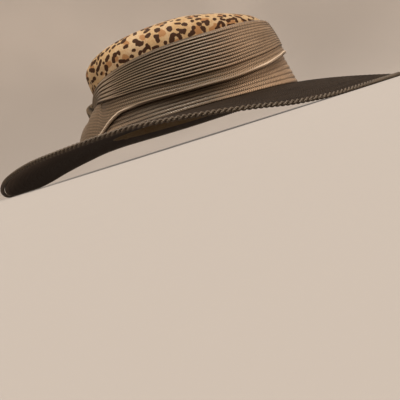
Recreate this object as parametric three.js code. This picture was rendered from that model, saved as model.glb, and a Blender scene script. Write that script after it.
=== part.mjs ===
// A wide-brimmed dress hat: a domed cloth crown, a flared tier and a draped band of sewn braid around it,
// a ribbed wrap that gathers the drape at the back, and a very wide brim with a corded edge.
// Millimetres, +Z up. The hat rests on its brim on the plane z = 0, the front points along +X,
// and the origin lies under the middle of the brim's outline.
import * as THREE from "three";

// Crown. Heights are measured up from the crown's seam, where the brim's top face meets it.
const CROWN_LENGTH = 200; // outside, front to back
const CROWN_WIDTH = 170; // outside, side to side
const CROWN_HEIGHT = 91; // seam to the top of the dome
const CROWN_WALL = 2;
const DOME_HEIGHT = 32; // the part of the height that is rounded
const DOME_POWER = 2.7; // 2 would be an ellipse, more is squarer at the shoulder
const CROWN_LEAN = 0.1; // the crown leans back this much for each millimetre of height
const CROWN_FORWARD = 10; // the crown's middle lies this far in front of the brim's
const SEAM_SLOPE = 0.01; // the seam drops this much for each millimetre towards the front

// Brim
const BRIM_LENGTH = 420;
const BRIM_WIDTH = 392;
const BRIM_THICKNESS = 2.2;
const BRIM_LIFT = 26.5; // the seam's height above the surface that the hat rests on
const BRIM_DROOP_POWER = 1.35; // 1 would be a straight slope, more is flatter beside the crown
const RIM_RISE = 21; // how far the sides of the rim curl up from that surface
const EDGE_CORD = 3.6; // the cord along the rim

// Lower tier, a skirt of braid rows that stands on the brim
const TIER_WALL = 2;
const TIER_ROWS = 8;
const TIER_FLARE = 40; // the most that its foot stands off the crown, at the back
const TIER_TUCK = 9; // how far it runs up under the drape
const UNTUCK_SPAN = 42; // degrees each side of the back over which it comes out from under the drape
const TIER_CLIMB = 1; // millimetres that its top edge may gain for each degree away from the wrap

// Drape, the upper band of braid rows
const DRAPE_WALL = 2;
const DRAPE_ROWS = 11; // above the flat strip along its folded lower edge
const DRAPE_TOP = 70; // its top edge at the front
const DRAPE_FOOT = 34; // its lower edge at the front
const DRAPE_STRIP = 0.2; // the flat strip's share of the drape's height
const DRAPE_EASE = 0.8; // how far the folded edge stands off the tier
const ROW_STEP = 0.7; // each braid row's lower lip stands this far proud of the row below

// Wrap that gathers the drape at the back
const WRAP_WIDTH = 22;
const WRAP_DEPTH = 9.5; // how far it stands out from the drape
const WRAP_WALL = 1.6; // behind, above and below the gathered drape
const WRAP_RIBS = 5;
const RIB_DEPTH = 0.9;
const GATHER_SPAN = 30; // degrees each side of the back over which the drape draws in to the wrap

const CLEARANCE = 0.3; // between neighbouring pieces

// Facets
const SECTIONS = 60; // sections round the head
const SECTION_ANGLE = 360 / SECTIONS;
const BRIM_SHARES = [0, 0.12, 0.3, 0.5, 0.75, 1]; // rings of the brim from the crown to the rim
const CORD_SIDES = 8;
const TIER_BACK_SHARES = [0, 0.06, 0.2, 0.5, 1]; // rows of the tier's inner face, from its top
const WRAP_BACK_SHARES = [-1, -0.5, 0, 0.5, 1]; // points across the wrap's inner face
const WALL_ROWS = { outer: 2, inner: 1 }; // rows of the crown's wall
const DOME_ROWS = { outer: 8, inner: 6 }; // rows of its dome

// Rim heights as shares of RIM_RISE, by degrees from the front, the wearer's left positive
const RIM_TABLE = [
  { angle: -180, rise: 0 },
  { angle: -170, rise: 0 },
  { angle: -156, rise: 0.26 },
  { angle: -141, rise: 0.65 },
  { angle: -125, rise: 0.86 },
  { angle: -105, rise: 0.89 },
  { angle: -96, rise: 0.74 },
  { angle: -82, rise: 0.39 },
  { angle: -72, rise: 0.11 },
  { angle: -62, rise: 0 },
  { angle: 4, rise: 0 },
  { angle: 10, rise: 0.1 },
  { angle: 16, rise: 0.25 },
  { angle: 29, rise: 0.64 },
  { angle: 41, rise: 0.93 },
  { angle: 52, rise: 1 },
  { angle: 90, rise: 0.96 },
  { angle: 118, rise: 1 },
  { angle: 127, rise: 0.94 },
  { angle: 140, rise: 0.66 },
  { angle: 150, rise: 0.4 },
  { angle: 161, rise: 0.1 },
  { angle: 168, rise: 0 },
  { angle: 180, rise: 0 },
];

// Drape, alike on both sides: its edges as shares of DRAPE_TOP and DRAPE_FOOT, by degrees from the front
const DRAPE_TABLE = [
  { angle: 0, top: 1, foot: 1 },
  { angle: 22, top: 0.965, foot: 0.92 },
  { angle: 37, top: 0.915, foot: 0.75 },
  { angle: 53, top: 0.885, foot: 0.58 },
  { angle: 75, top: 0.846, foot: 0.46 },
  { angle: 98, top: 0.832, foot: 0.48 },
  { angle: 118, top: 0.805, foot: 0.52 },
  { angle: 137, top: 0.755, foot: 0.51 },
  { angle: 150, top: 0.705, foot: 0.54 },
  { angle: 158, top: 0.65, foot: 0.67 },
  { angle: 166, top: 0.61, foot: 0.79 },
  { angle: 180, top: 0.61, foot: 0.79 },
];

// Tier, alike on both sides: how far its foot stands off the crown as a share of TIER_FLARE,
// and the power of its slope, where 1 is straight and less bulges out under its top
const TIER_TABLE = [
  { angle: 0, flare: 0.23, slope: 1 },
  { angle: 60, flare: 0.22, slope: 1 },
  { angle: 90, flare: 0.24, slope: 1 },
  { angle: 120, flare: 0.34, slope: 0.9 },
  { angle: 150, flare: 0.62, slope: 0.66 },
  { angle: 168, flare: 0.95, slope: 0.4 },
  { angle: 180, flare: 1, slope: 0.36 },
];

// The wrap's loop round the gathered drape, up its front and down behind it. Its inner outline is
// given from the drape's back (0) to its front (1) and from its foot (-1) to its top (1); its outer
// outline likewise over the wrap's own depth and height.
const WRAP_TABLE = [
  { innerOff: 0, innerUp: -1, outerOff: 0, outerUp: -1 },
  { innerOff: 1, innerUp: -1, outerOff: 0.45, outerUp: -1 },
  { innerOff: 1, innerUp: -0.8, outerOff: 0.8, outerUp: -0.85 },
  { innerOff: 1, innerUp: -0.35, outerOff: 1, outerUp: -0.4 },
  { innerOff: 1, innerUp: 0.35, outerOff: 1, outerUp: 0.4 },
  { innerOff: 1, innerUp: 0.8, outerOff: 0.8, outerUp: 0.85 },
  { innerOff: 1, innerUp: 1, outerOff: 0.45, outerUp: 1 },
  { innerOff: 0, innerUp: 1, outerOff: 0, outerUp: 1 },
];

const WRAP_HALF_ANGLE = THREE.MathUtils.radToDeg(WRAP_WIDTH / CROWN_WIDTH);

const radians = THREE.MathUtils.degToRad;
const mix = THREE.MathUtils.lerp;

/** One column of a table at an angle: a smooth curve through its rows that never overshoots them. */
function readTable(table, column, angle) {
  const last = table.length - 2;
  let row = 0;
  while (row < last && angle > table[row + 1].angle) row += 1;
  const span = (i) => table[i + 1].angle - table[i].angle;
  const secant = (i) => (table[i + 1][column] - table[i][column]) / span(i);
  const tangent = (i) => {
    if (i === 0 || i === table.length - 1) return 0;
    const before = secant(i - 1);
    const after = secant(i);
    return before * after <= 0 ? 0 : (2 * before * after) / (before + after);
  };
  const step = span(row);
  const t = (angle - table[row].angle) / step;
  const t2 = t * t;
  const t3 = t2 * t;
  return (
    (2 * t3 - 3 * t2 + 1) * table[row][column] +
    (t3 - 2 * t2 + t) * step * tangent(row) +
    (3 * t2 - 2 * t3) * table[row + 1][column] +
    (t3 - t2) * step * tangent(row + 1)
  );
}

/** The point of an oval at an angle, moved out along the oval's own normal. */
function oval(length, width, angle, out) {
  const a = length / 2;
  const b = width / 2;
  const c = Math.cos(radians(angle));
  const s = Math.sin(radians(angle));
  const normal = new THREE.Vector2(c / a, s / b).normalize();
  return new THREE.Vector2(a * c, b * s).addScaledVector(normal, out);
}

/** Height of the seam's plane at a distance forward of the crown's middle. */
function seamPlane(forward) {
  return BRIM_LIFT - SEAM_SLOPE * forward;
}

/** A point beside the crown's wall: its angle, height above the seam and distance off the wall. */
function besideCrown(angle, height, off) {
  const p = oval(CROWN_LENGTH, CROWN_WIDTH, angle, off);
  const forward = p.x - CROWN_LEAN * height;
  return new THREE.Vector3(CROWN_FORWARD + forward, p.y, seamPlane(forward) + height);
}

function rimHeight(angle) {
  return RIM_RISE * readTable(RIM_TABLE, "rise", angle);
}

/** A point of the brim: its share of the way from the crown to the rim, and its distance over the mid-face. */
function onBrim(angle, share, over) {
  const inner = besideCrown(angle, -BRIM_THICKNESS / 2 + over, CLEARANCE);
  const rim = oval(BRIM_LENGTH, BRIM_WIDTH, angle, -EDGE_CORD - CLEARANCE);
  const rimZ = rimHeight(angle) + EDGE_CORD / 2 + over;
  const droop = Math.pow(share, BRIM_DROOP_POWER);
  return new THREE.Vector3(
    mix(inner.x, rim.x, share),
    mix(inner.y, rim.y, share),
    mix(inner.z, rimZ, droop),
  );
}

/** Height above the seam's plane at which something stands on the brim, this far off the crown. */
function brimTopHeight(angle, off) {
  const inner = onBrim(angle, 0, BRIM_THICKNESS / 2);
  const rim = onBrim(angle, 1, BRIM_THICKNESS / 2);
  const reach = Math.hypot(rim.x - inner.x, rim.y - inner.y);
  const top = onBrim(angle, off / reach, BRIM_THICKNESS / 2);
  return top.z - seamPlane(top.x - CROWN_FORWARD);
}

/** How far the drape has drawn in to the wrap: 0 along the sides, 1 inside the wrap. */
function gather(angle) {
  const start = 180 - GATHER_SPAN;
  const end = 180 - WRAP_HALF_ANGLE - SECTION_ANGLE;
  return THREE.MathUtils.smoothstep(Math.abs(angle), start, end);
}

/** The drape at an angle: heights of its edges, and how far its inner face stands off the crown there. */
function drapeAt(angle) {
  const side = Math.abs(angle);
  const top = DRAPE_TOP * readTable(DRAPE_TABLE, "top", side);
  const foot = DRAPE_FOOT * readTable(DRAPE_TABLE, "foot", side);
  const drawn = gather(angle);
  const seat = CLEARANCE + drawn * (WRAP_WALL + CLEARANCE);
  const eased = tierFace(angle, foot) + ROW_STEP + CLEARANCE + DRAPE_EASE;
  return { top, foot, topOff: seat, footOff: mix(eased, seat, drawn) };
}

/** Height of the tier's top edge: tucked under the drape, but just below it where it draws in to the wrap. */
function tierTop(angle) {
  const side = Math.abs(angle);
  const foot = DRAPE_FOOT * readTable(DRAPE_TABLE, "foot", side);
  const untucked = THREE.MathUtils.smoothstep(side, 180 - UNTUCK_SPAN, 180 - GATHER_SPAN);
  const fromWrap = Math.max(0, 180 - side - WRAP_HALF_ANGLE - SECTION_ANGLE);
  const belowWrap = foot - WRAP_WALL - 2 * CLEARANCE + TIER_CLIMB * fromWrap;
  return Math.min(foot + mix(TIER_TUCK, -1.5 * CLEARANCE, untucked), belowWrap);
}

/** The tier at an angle: heights of its edges, how far its foot stands off the crown, and its slope's power. */
function tierAt(angle) {
  const side = Math.abs(angle);
  const footOff = TIER_FLARE * readTable(TIER_TABLE, "flare", side);
  const slope = readTable(TIER_TABLE, "slope", side);
  const foot = brimTopHeight(angle, footOff) + CLEARANCE;
  return { top: tierTop(angle), foot, footOff, slope };
}

/** A point of the tier's outer face, from its top edge (share 0) to its foot (share 1). */
function tierPoint({ top, foot, footOff, slope }, share) {
  const pace = 2 / (1 + slope);
  return new THREE.Vector2(
    mix(CLEARANCE + TIER_WALL, footOff, Math.pow(share, pace * slope)),
    mix(top, foot, Math.pow(share, pace)),
  );
}

/** How far the tier's outer face stands off the crown at a height. */
function tierFace(angle, height) {
  const { top, foot, footOff, slope } = tierAt(angle);
  const down = THREE.MathUtils.clamp((top - height) / (top - foot), 0, 1);
  return mix(CLEARANCE + TIER_WALL, footOff, Math.pow(down, slope));
}

/**
 * A closed body from sections swept round the head. Each section is a list of points, up its outer
 * side and down its inner side. A closed section makes a ring; an open one starts and ends on
 * points that all sections share.
 */
function sweptBody(sections, closed) {
  const size = sections[0].length;
  const positions = [];
  const index = [];
  const shared = new Map();
  const vertex = (i, k) => {
    const pole = !closed && (k === 0 || k === size - 1);
    const key = (pole ? 0 : i % sections.length) * size + (k % size);
    if (!shared.has(key)) {
      shared.set(key, positions.length / 3);
      positions.push(...sections[pole ? 0 : i % sections.length][k % size].toArray());
    }
    return shared.get(key);
  };
  const edges = closed ? size : size - 1;
  for (let i = 0; i < sections.length; i += 1) {
    for (let k = 0; k < edges; k += 1) {
      const a = vertex(i, k);
      const b = vertex(i + 1, k);
      const c = vertex(i + 1, k + 1);
      const d = vertex(i, k + 1);
      if (a !== b) index.push(a, b, c);
      if (c !== d) index.push(a, c, d);
    }
  }
  const geometry = new THREE.BufferGeometry();
  geometry.setAttribute("position", new THREE.Float32BufferAttribute(positions, 3));
  geometry.setIndex(index);
  geometry.computeVertexNormals();
  return geometry;
}

/** Sections at equal angles all round, from a function of the angle. */
function sectionsAround(sectionAt) {
  return Array.from({ length: SECTIONS }, (_, i) => {
    const angle = i * SECTION_ANGLE;
    return sectionAt(angle > 180 ? angle - 360 : angle);
  });
}

/** Points of one face of the crown from its foot to the top of its dome. */
function crownFace(angle, inset, wallSteps, domeSteps) {
  const straight = CROWN_HEIGHT - DOME_HEIGHT;
  const dome = DOME_HEIGHT - inset;
  const points = [];
  for (let i = 0; i < wallSteps; i += 1) {
    points.push(besideCrown(angle, mix(-BRIM_THICKNESS, straight, i / wallSteps), -inset));
  }
  for (let i = 0; i <= domeSteps; i += 1) {
    const turn = (i / domeSteps) * (Math.PI / 2);
    const rise = straight + dome * Math.pow(Math.sin(turn), 2 / DOME_POWER);
    const wide = i === domeSteps ? 0 : Math.pow(Math.cos(turn), 2 / DOME_POWER);
    const p = oval(CROWN_LENGTH, CROWN_WIDTH, angle, -inset).multiplyScalar(wide);
    const forward = p.x - CROWN_LEAN * rise;
    points.push(new THREE.Vector3(CROWN_FORWARD + forward, p.y, seamPlane(forward) + rise));
  }
  return points;
}

function crown() {
  const section = (angle) => [
    ...crownFace(angle, CROWN_WALL, WALL_ROWS.inner, DOME_ROWS.inner).reverse(),
    ...crownFace(angle, 0, WALL_ROWS.outer, DOME_ROWS.outer),
  ];
  return sweptBody(sectionsAround(section), false);
}

function brim() {
  const half = BRIM_THICKNESS / 2;
  const section = (angle) => [
    ...BRIM_SHARES.map((share) => onBrim(angle, share, -half)),
    ...BRIM_SHARES.map((share) => onBrim(angle, share, half)).reverse(),
  ];
  return sweptBody(sectionsAround(section), true);
}

function brimEdge() {
  const radius = EDGE_CORD / 2 / Math.cos(Math.PI / CORD_SIDES);
  const section = (angle) =>
    Array.from({ length: CORD_SIDES }, (_, k) => {
      const turn = ((k + 0.5) / CORD_SIDES) * 2 * Math.PI;
      const p = oval(BRIM_LENGTH, BRIM_WIDTH, angle, radius * Math.cos(turn) - EDGE_CORD / 2);
      const z = rimHeight(angle) + EDGE_CORD / 2 + radius * Math.sin(turn);
      return new THREE.Vector3(p.x, p.y, z);
    });
  return sweptBody(sectionsAround(section), true);
}

/** Shingled rows up an outer face: each row starts at a lip and leans in to the root of the next lip. */
function shingles(marks, place) {
  const points = [];
  for (let row = 0; row + 1 < marks.length; row += 1) {
    points.push(place(marks[row], ROW_STEP));
    points.push(place(marks[row + 1], 0));
  }
  return points;
}

function lowerBand() {
  const marks = Array.from({ length: TIER_ROWS + 1 }, (_, i) => 1 - i / TIER_ROWS);
  const section = (angle) => {
    const tier = tierAt(angle);
    const outer = shingles(marks, (share, lip) => {
      const p = tierPoint(tier, share);
      return besideCrown(angle, p.y, p.x + lip);
    });
    const inner = TIER_BACK_SHARES.map((share) => {
      const p = tierPoint(tier, share);
      const near = 0.01;
      const along = tierPoint(tier, share + near).sub(tierPoint(tier, Math.max(0, share - near)));
      const inward = new THREE.Vector2(along.y, -along.x).setLength(TIER_WALL);
      const off = Math.max(CLEARANCE, p.x + inward.x);
      const height = Math.max(p.y + inward.y, brimTopHeight(angle, off) + CLEARANCE);
      return besideCrown(angle, height, off);
    });
    return [...outer, ...inner];
  };
  return sweptBody(sectionsAround(section), true);
}

function upperBand() {
  const marks = [0];
  for (let i = 0; i <= DRAPE_ROWS; i += 1) marks.push(mix(DRAPE_STRIP, 1, i / DRAPE_ROWS));
  const section = (angle) => {
    const { top, foot, topOff, footOff } = drapeAt(angle);
    const place = (up, out) =>
      besideCrown(angle, mix(foot, top, up), mix(footOff, topOff, up) + out);
    const outer = shingles(marks, (up, lip) => place(up, DRAPE_WALL + lip));
    return [...outer, place(1, 0), place(0.5, 0), place(0, 0)];
  };
  return sweptBody(sectionsAround(section), true);
}

/** The ribbed wrap: a closed loop round the gathered drape, each rib running round the loop. */
function bandKnot() {
  const { top, foot, topOff } = drapeAt(180);
  const middle = (top + foot) / 2;
  const innerHalf = (top - foot) / 2 + CLEARANCE;
  const outerHalf = innerHalf + WRAP_WALL;
  const innerBack = topOff - CLEARANCE;
  const innerFront = topOff + DRAPE_WALL + ROW_STEP + CLEARANCE;
  const outerBack = innerBack - WRAP_WALL;
  const outerFront = innerFront + WRAP_DEPTH;
  const across = (share) => 180 + WRAP_HALF_ANGLE * share;
  const sections = WRAP_TABLE.map(({ innerOff, innerUp, outerOff, outerUp }) => {
    const ring = [];
    for (let i = 0; i <= 2 * WRAP_RIBS; i += 1) {
      const angle = across(1 - i / WRAP_RIBS);
      const groove = i % 2 === 0 ? RIB_DEPTH * outerOff : 0;
      const off = mix(outerBack, outerFront, outerOff) - groove;
      ring.push(besideCrown(angle, middle + outerHalf * outerUp, off));
    }
    for (const share of WRAP_BACK_SHARES) {
      const off = mix(innerBack, innerFront, innerOff);
      ring.push(besideCrown(across(share), middle + innerHalf * innerUp, off));
    }
    return ring;
  });
  return sweptBody(sections, true);
}

const pieces = new THREE.Group();

/** Adds one named piece with its own material. */
function addPiece(name, geometry, color, roughness) {
  const material = new THREE.MeshStandardMaterial({ color, roughness, metalness: 0 });
  const mesh = new THREE.Mesh(geometry, material);
  mesh.name = name;
  pieces.add(mesh);
}

addPiece("crown", crown(), 0xd2b484, 0.85);
addPiece("brim", brim(), 0x43382f, 0.7);
addPiece("brim_edge", brimEdge(), 0x382e27, 0.7);
addPiece("lower_band", lowerBand(), 0x8a7762, 0.55);
addPiece("upper_band", upperBand(), 0x7b6b59, 0.5);
addPiece("band_knot", bandKnot(), 0x4f4438, 0.5);

export default pieces;
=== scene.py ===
"""A wide-brimmed dress hat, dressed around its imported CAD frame.

The crown is spotted cloth. Around it stand a flared tier and a draped band of sewn braid, gathered at
the back by a ribbed wrap, on a very wide brim of sewn braid with a twisted cord along its rim.
Lengths are metres, +Z up. The hat rests on its brim on the floor and its front points along +X.
"""

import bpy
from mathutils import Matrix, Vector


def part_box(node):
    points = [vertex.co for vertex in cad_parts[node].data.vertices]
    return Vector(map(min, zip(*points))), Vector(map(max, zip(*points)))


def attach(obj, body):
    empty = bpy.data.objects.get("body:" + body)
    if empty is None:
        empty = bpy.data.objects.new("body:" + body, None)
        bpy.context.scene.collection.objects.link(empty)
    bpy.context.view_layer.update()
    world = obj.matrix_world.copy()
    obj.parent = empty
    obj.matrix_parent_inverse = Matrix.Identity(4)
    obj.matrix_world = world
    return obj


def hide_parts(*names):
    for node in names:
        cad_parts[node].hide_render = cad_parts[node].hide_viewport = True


bl_info = {
    "name": "Wide-Brimmed Dress Hat",
    "version": (1, 0, 0),
    "blender": (4, 2, 0),
    "location": "3D View > Sidebar > Dress Hat",
    "description": "Builds the cloth, braid and cord of a wide-brimmed dress hat around its CAD frame",
    "category": "Add Mesh",
}

import bpy
import numpy as np
from bpy.props import FloatProperty, FloatVectorProperty, IntProperty, PointerProperty
from bpy.types import Operator, Panel, PropertyGroup
from mathutils import Matrix, Vector

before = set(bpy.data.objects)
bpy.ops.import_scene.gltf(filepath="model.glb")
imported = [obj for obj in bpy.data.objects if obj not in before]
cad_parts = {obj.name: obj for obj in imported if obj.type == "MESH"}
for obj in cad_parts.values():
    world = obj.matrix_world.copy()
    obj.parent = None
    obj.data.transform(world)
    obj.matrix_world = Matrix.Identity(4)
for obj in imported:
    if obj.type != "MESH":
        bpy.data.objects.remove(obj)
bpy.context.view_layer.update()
EDGE_LOW, EDGE_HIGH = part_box("brim_edge")
RIM_LENGTH = round(EDGE_HIGH.x - EDGE_LOW.x, 5)
RIM_WIDTH = round(EDGE_HIGH.y - EDGE_LOW.y, 5)

MM = 0.001
CLEARANCE = 0.3 * MM

# How the crown sits on the brim, and the powers of the dome's curve and of the brim's droop
CROWN_LEAN = 0.1
CROWN_FORWARD = 10 * MM
SEAM_SLOPE = 0.01
DOME_POWER = 2.7
BRIM_DROOP_POWER = 1.35

# How far the crown's front shoulder sinks, and how far forward this begins and is full
FRONT_SAG = 4.6 * MM
SAG_SPAN = (5 * MM, 70 * MM)

# Degrees from the front between which something changes: the tier's top comes out from under the
# drape, each two of the drape's rows are drawn up into one pleat, its fold opens out, its rows'
# relief grows to its full height, what that gains at the very front fades, and the painted highlight
# on the fold's edge fades behind the front and comes back towards the back
UNTUCK_SPAN = (138, 150)
PAIR_SPAN = (124, 140)
OPEN_SPAN = (128, 157)
RELIEF_SPAN = (50, 80)
FRONT_SPAN = (12, 36)
HIGHLIGHT_FRONT_SPAN = (48, 66)
HIGHLIGHT_BACK_SPAN = (118, 138)

# Where the gathers begin, how far before the wrap they are full, and where the strip leaves the
# wrap's foot, in degrees
GATHER_START = 150
GATHER_MARGIN = 6
STRIP_LEAVES_WRAP = 171

# How the tier and the strip fit under the drape and the wrap. The climbs are for each degree.
TIER_TUCK = 9 * MM
TIER_CLIMB = 1 * MM
STRIP_CLIMB = 2.5 * MM
WRAP_WALL = 1.6 * MM
ROW_STEP = 0.7 * MM
DRAPE_EASE = 0.8 * MM

# How far the borders of the drape's rows wander, the drape bellies out and its fold stands off, how
# far the tier sinks under the opened strip, and how deep the brim's grooves are
ROW_WANDER = 0.28 * MM
DRAPE_BELLY = 1.3 * MM
FOLD_FLARE = 1.1 * MM
TIER_SINK = 1.5 * MM
BRIM_GROOVE = 0.42 * MM

# Numbers of waves round the hat that its slow wandering is made of
WAVES = (3, 5, 8, 13, 21)

# Width of a row of braid that isn't crowded, and the parts of a row's width at which it has points
ROW_PITCH = 3.1 * MM
ROW_PARTS = np.array([0, 0.07, 0.17, 0.32, 0.5, 0.68, 0.84, 0.94])
BRIM_ROW_PARTS = np.array([0, 0.14, 0.45, 0.82])

# Rim heights as shares of the rim's rise, by degrees from the front, the wearer's left positive
RIM_ROWS = [
    (-180, 0), (-170, 0), (-156, 0.26), (-141, 0.65), (-125, 0.86), (-105, 0.89), (-96, 0.74),
    (-82, 0.39), (-72, 0.11), (-62, 0), (4, 0), (10, 0.1), (16, 0.25), (29, 0.64), (41, 0.93),
    (52, 1), (90, 0.96), (118, 1), (127, 0.94), (140, 0.66), (150, 0.4), (161, 0.1), (168, 0),
    (180, 0),
]

# The drape's edges as shares of its two heights, by degrees either way from the front
DRAPE_TOP_ROWS = [
    (0, 0.925), (13, 0.93), (22, 0.926), (37, 0.908), (53, 0.885), (75, 0.846), (98, 0.832),
    (118, 0.805), (137, 0.755), (150, 0.705), (158, 0.64), (166, 0.575), (180, 0.575),
]
DRAPE_FOOT_ROWS = [
    (0, 1), (22, 0.92), (37, 0.75), (53, 0.58), (75, 0.46), (98, 0.48), (118, 0.52),
    (137, 0.51), (150, 0.53), (158, 0.63), (166, 0.715), (180, 0.715),
]

# The share of the drape's height that its flat strip takes below the pleats, by the same degrees
STRIP_ROWS = [
    (0, 0.24), (75, 0.23), (90, 0.235), (105, 0.27), (115, 0.295), (125, 0.33), (135, 0.39),
    (145, 0.48), (152, 0.55), (157, 0.5), (166, 0.06), (180, 0.06),
]

# The tier: how far its foot stands off the crown as a share of its flare, and its slope's power
TIER_FLARE_ROWS = [
    (0, 0.23), (60, 0.22), (90, 0.24), (120, 0.34), (150, 0.62), (168, 0.95), (180, 1),
]
TIER_SLOPE_ROWS = [(0, 1), (60, 1), (90, 1), (120, 0.9), (150, 0.66), (168, 0.4), (180, 0.36)]

# The wrap's loop round the gathered drape: inner and outer outline, each as a share of its depth
# from back to front and of its height from foot to top
WRAP_LOOP = [
    (0, -1, 0, -1), (1, -1, 0.35, -1), (1, -0.8, 0.76, -0.8), (1, -0.35, 1, -0.34),
    (1, 0.35, 1, 0.34), (1, 0.8, 0.76, 0.8), (1, 1, 0.35, 1), (0, 1, 0, 1),
]

# Dark spots of the cloth on the wearer's right side: degrees round the crown, millimetres down from
# the top of the dome, half length and half width in millimetres, and the turn of the long way in
# degrees
DARK_SPOTS = [
    (-147.2, 92.8, 6.2, 2.2, 2), (-148.5, 100.2, 4.9, 1.7, 18), (-141.2, 90.2, 4.2, 1.5, 59),
    (-137.8, 98.3, 3.2, 1.6, -48), (-141.5, 102.3, 3.6, 1.6, -25), (-137.0, 89.6, 3.2, 1.7, 31),
    (-131.0, 97.9, 3.4, 1.8, -40), (-134.0, 105.9, 2.7, 2.0, -75), (-132.8, 85.6, 3.1, 2.4, -84),
    (-140.0, 107.9, 2.1, 1.0, -16), (-149.5, 108.1, 2.9, 1.1, 3), (-153.8, 109.1, 3.2, 1.0, 4),
    (-126.5, 87.7, 2.4, 2.2, 56), (-127.8, 77.5, 6.5, 1.6, 53), (-124.8, 98.5, 2.3, 2.0, 3),
    (-126.8, 102.3, 2.7, 1.7, -89), (-122.0, 98.5, 2.3, 1.2, 70), (-121.8, 106.6, 3.6, 1.2, 20),
    (-119.2, 85.4, 4.3, 2.4, 89), (-116.8, 95.6, 2.8, 1.5, 13), (-112.2, 79.0, 5.4, 1.5, 73),
    (-110.8, 93.4, 2.4, 2.0, 36), (-109.0, 97.7, 3.1, 2.1, 33), (-107.2, 99.1, 2.0, 1.1, -44),
    (-115.0, 106.1, 1.7, 1.3, 20), (-110.0, 105.9, 2.0, 1.1, -40), (-107.0, 105.1, 2.4, 1.3, -31),
    (-105.0, 102.3, 1.9, 1.1, 77), (-104.2, 105.1, 1.9, 0.8, 75), (-103.5, 85.2, 3.2, 2.3, -42),
    (-103.0, 93.0, 2.9, 1.9, -35), (-97.5, 90.0, 2.9, 2.4, 88), (-99.0, 97.0, 2.1, 1.5, 4),
    (-98.8, 100.8, 2.4, 1.4, 74), (-101.5, 106.2, 3.3, 1.0, 1), (-91.2, 93.4, 3.0, 2.1, -89),
    (-95.8, 105.1, 1.5, 1.4, 27), (-90.8, 100.9, 2.5, 1.5, -19), (-92.2, 104.5, 3.2, 1.9, -57),
    (-88.2, 102.3, 1.5, 1.2, 16), (-87.8, 104.5, 2.3, 1.3, 86), (-86.8, 98.1, 2.3, 0.9, 36),
    (-85.8, 100.8, 2.6, 1.0, 32), (-84.5, 100.0, 1.6, 1.4, -68), (-82.8, 93.4, 2.1, 1.9, 45),
    (-86.0, 90.0, 2.7, 1.2, 22), (-78.0, 91.3, 1.6, 1.3, -80), (-84.2, 83.3, 2.1, 1.8, 48),
    (-81.2, 103.4, 2.1, 1.7, -18), (-82.8, 104.7, 1.7, 1.3, -16), (-79.5, 99.1, 1.6, 1.5, 0),
    (-75.8, 96.6, 2.3, 1.4, 45), (-75.0, 101.7, 2.5, 1.7, 72), (-75.0, 104.7, 1.0, 0.9, -27),
    (-74.2, 90.0, 2.4, 1.3, -1), (-71.2, 96.4, 3.1, 1.8, -61), (-72.8, 94.9, 1.7, 1.0, 12),
    (-67.5, 103.8, 2.6, 0.8, -5), (-66.2, 100.8, 2.6, 1.0, -52), (-63.8, 98.5, 2.1, 1.1, 16),
    (-63.5, 101.9, 2.5, 1.4, -82), (-61.5, 95.1, 2.3, 1.2, 32), (-58.2, 102.8, 5.0, 1.4, 0),
    (-58.8, 97.3, 2.3, 1.5, -27), (-55.8, 95.6, 2.8, 0.9, -9), (-53.0, 95.1, 2.0, 1.7, 49),
    (-53.5, 98.7, 1.5, 1.2, -69), (-47.2, 98.5, 3.3, 1.9, 47), (-41.2, 99.4, 3.9, 1.9, 22),
]

# Tan centres on the same side, charted in the same way
TAN_SPOTS = [
    (-116.5, 91.7, 4.0, 2.0, 47), (-106.2, 92.8, 3.5, 2.1, 66), (-95.5, 94.9, 4.1, 2.3, 66),
    (-97.2, 97.3, 1.9, 1.6, 45), (-131.2, 103.8, 3.6, 2.5, 5), (-149.0, 97.2, 5.2, 1.8, 19),
    (-124.5, 102.5, 2.4, 2.3, 60), (-118.8, 105.1, 3.4, 2.5, 33), (-138.8, 108.5, 2.3, 1.2, -3),
    (-89.8, 106.4, 2.0, 1.0, -3), (-78.0, 101.3, 3.4, 3.1, -14), (-78.0, 104.2, 2.7, 2.0, 7),
    (-71.5, 92.2, 4.1, 1.9, 7), (-70.2, 103.0, 3.3, 1.4, -18), (-68.0, 101.1, 2.7, 1.6, -60),
    (-57.5, 99.4, 4.2, 2.2, -4), (-90.8, 107.0, 1.9, 1.1, -2), (-48.5, 98.7, 2.3, 1.7, 24),
    (-64.8, 101.1, 2.2, 1.5, -53), (-58.8, 100.2, 3.4, 1.5, -7),
]

# In millimetres: the farthest that a spot's distance is kept to, how far round a spot it is measured,
# and how much each charted spot is widened
FARTHEST = 20
SPOT_MARGIN = 3
CHART_GROWTH = 0.5

# How much farther down the dome and the wall the strewn print reaches than half the crown's length
PRINT_REACH = 50 * MM

# The strewn print, in millimetres: least distances of a rosette and of a single spot from the charted
# ones, of a single spot from a rosette and from another, and the radius of a rosette's ring of bars
ROSETTE_FROM_CHART = 7.5
SINGLE_FROM_CHART = 5
SINGLE_FROM_ROSETTE = 7.6
SINGLE_FROM_SINGLE = 6
ROSETTE_RING = 4.0

# Half length and half width in millimetres of a rosette's tan centre, its bars and a single spot, and
# how much the bars' half lengths vary
ROSETTE_CENTRE = (3.4, 2.8)
ROSETTE_BAR = (3.2, 1.75)
BAR_VARIES = 0.9
SINGLE_SPOT = (2.2, 1.6)

# Seed of the print's throws, and how many are made for rosettes and then for single spots
PRINT_SEED = 41
ROSETTE_THROWS = 2600
SINGLE_THROWS = 2600

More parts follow.
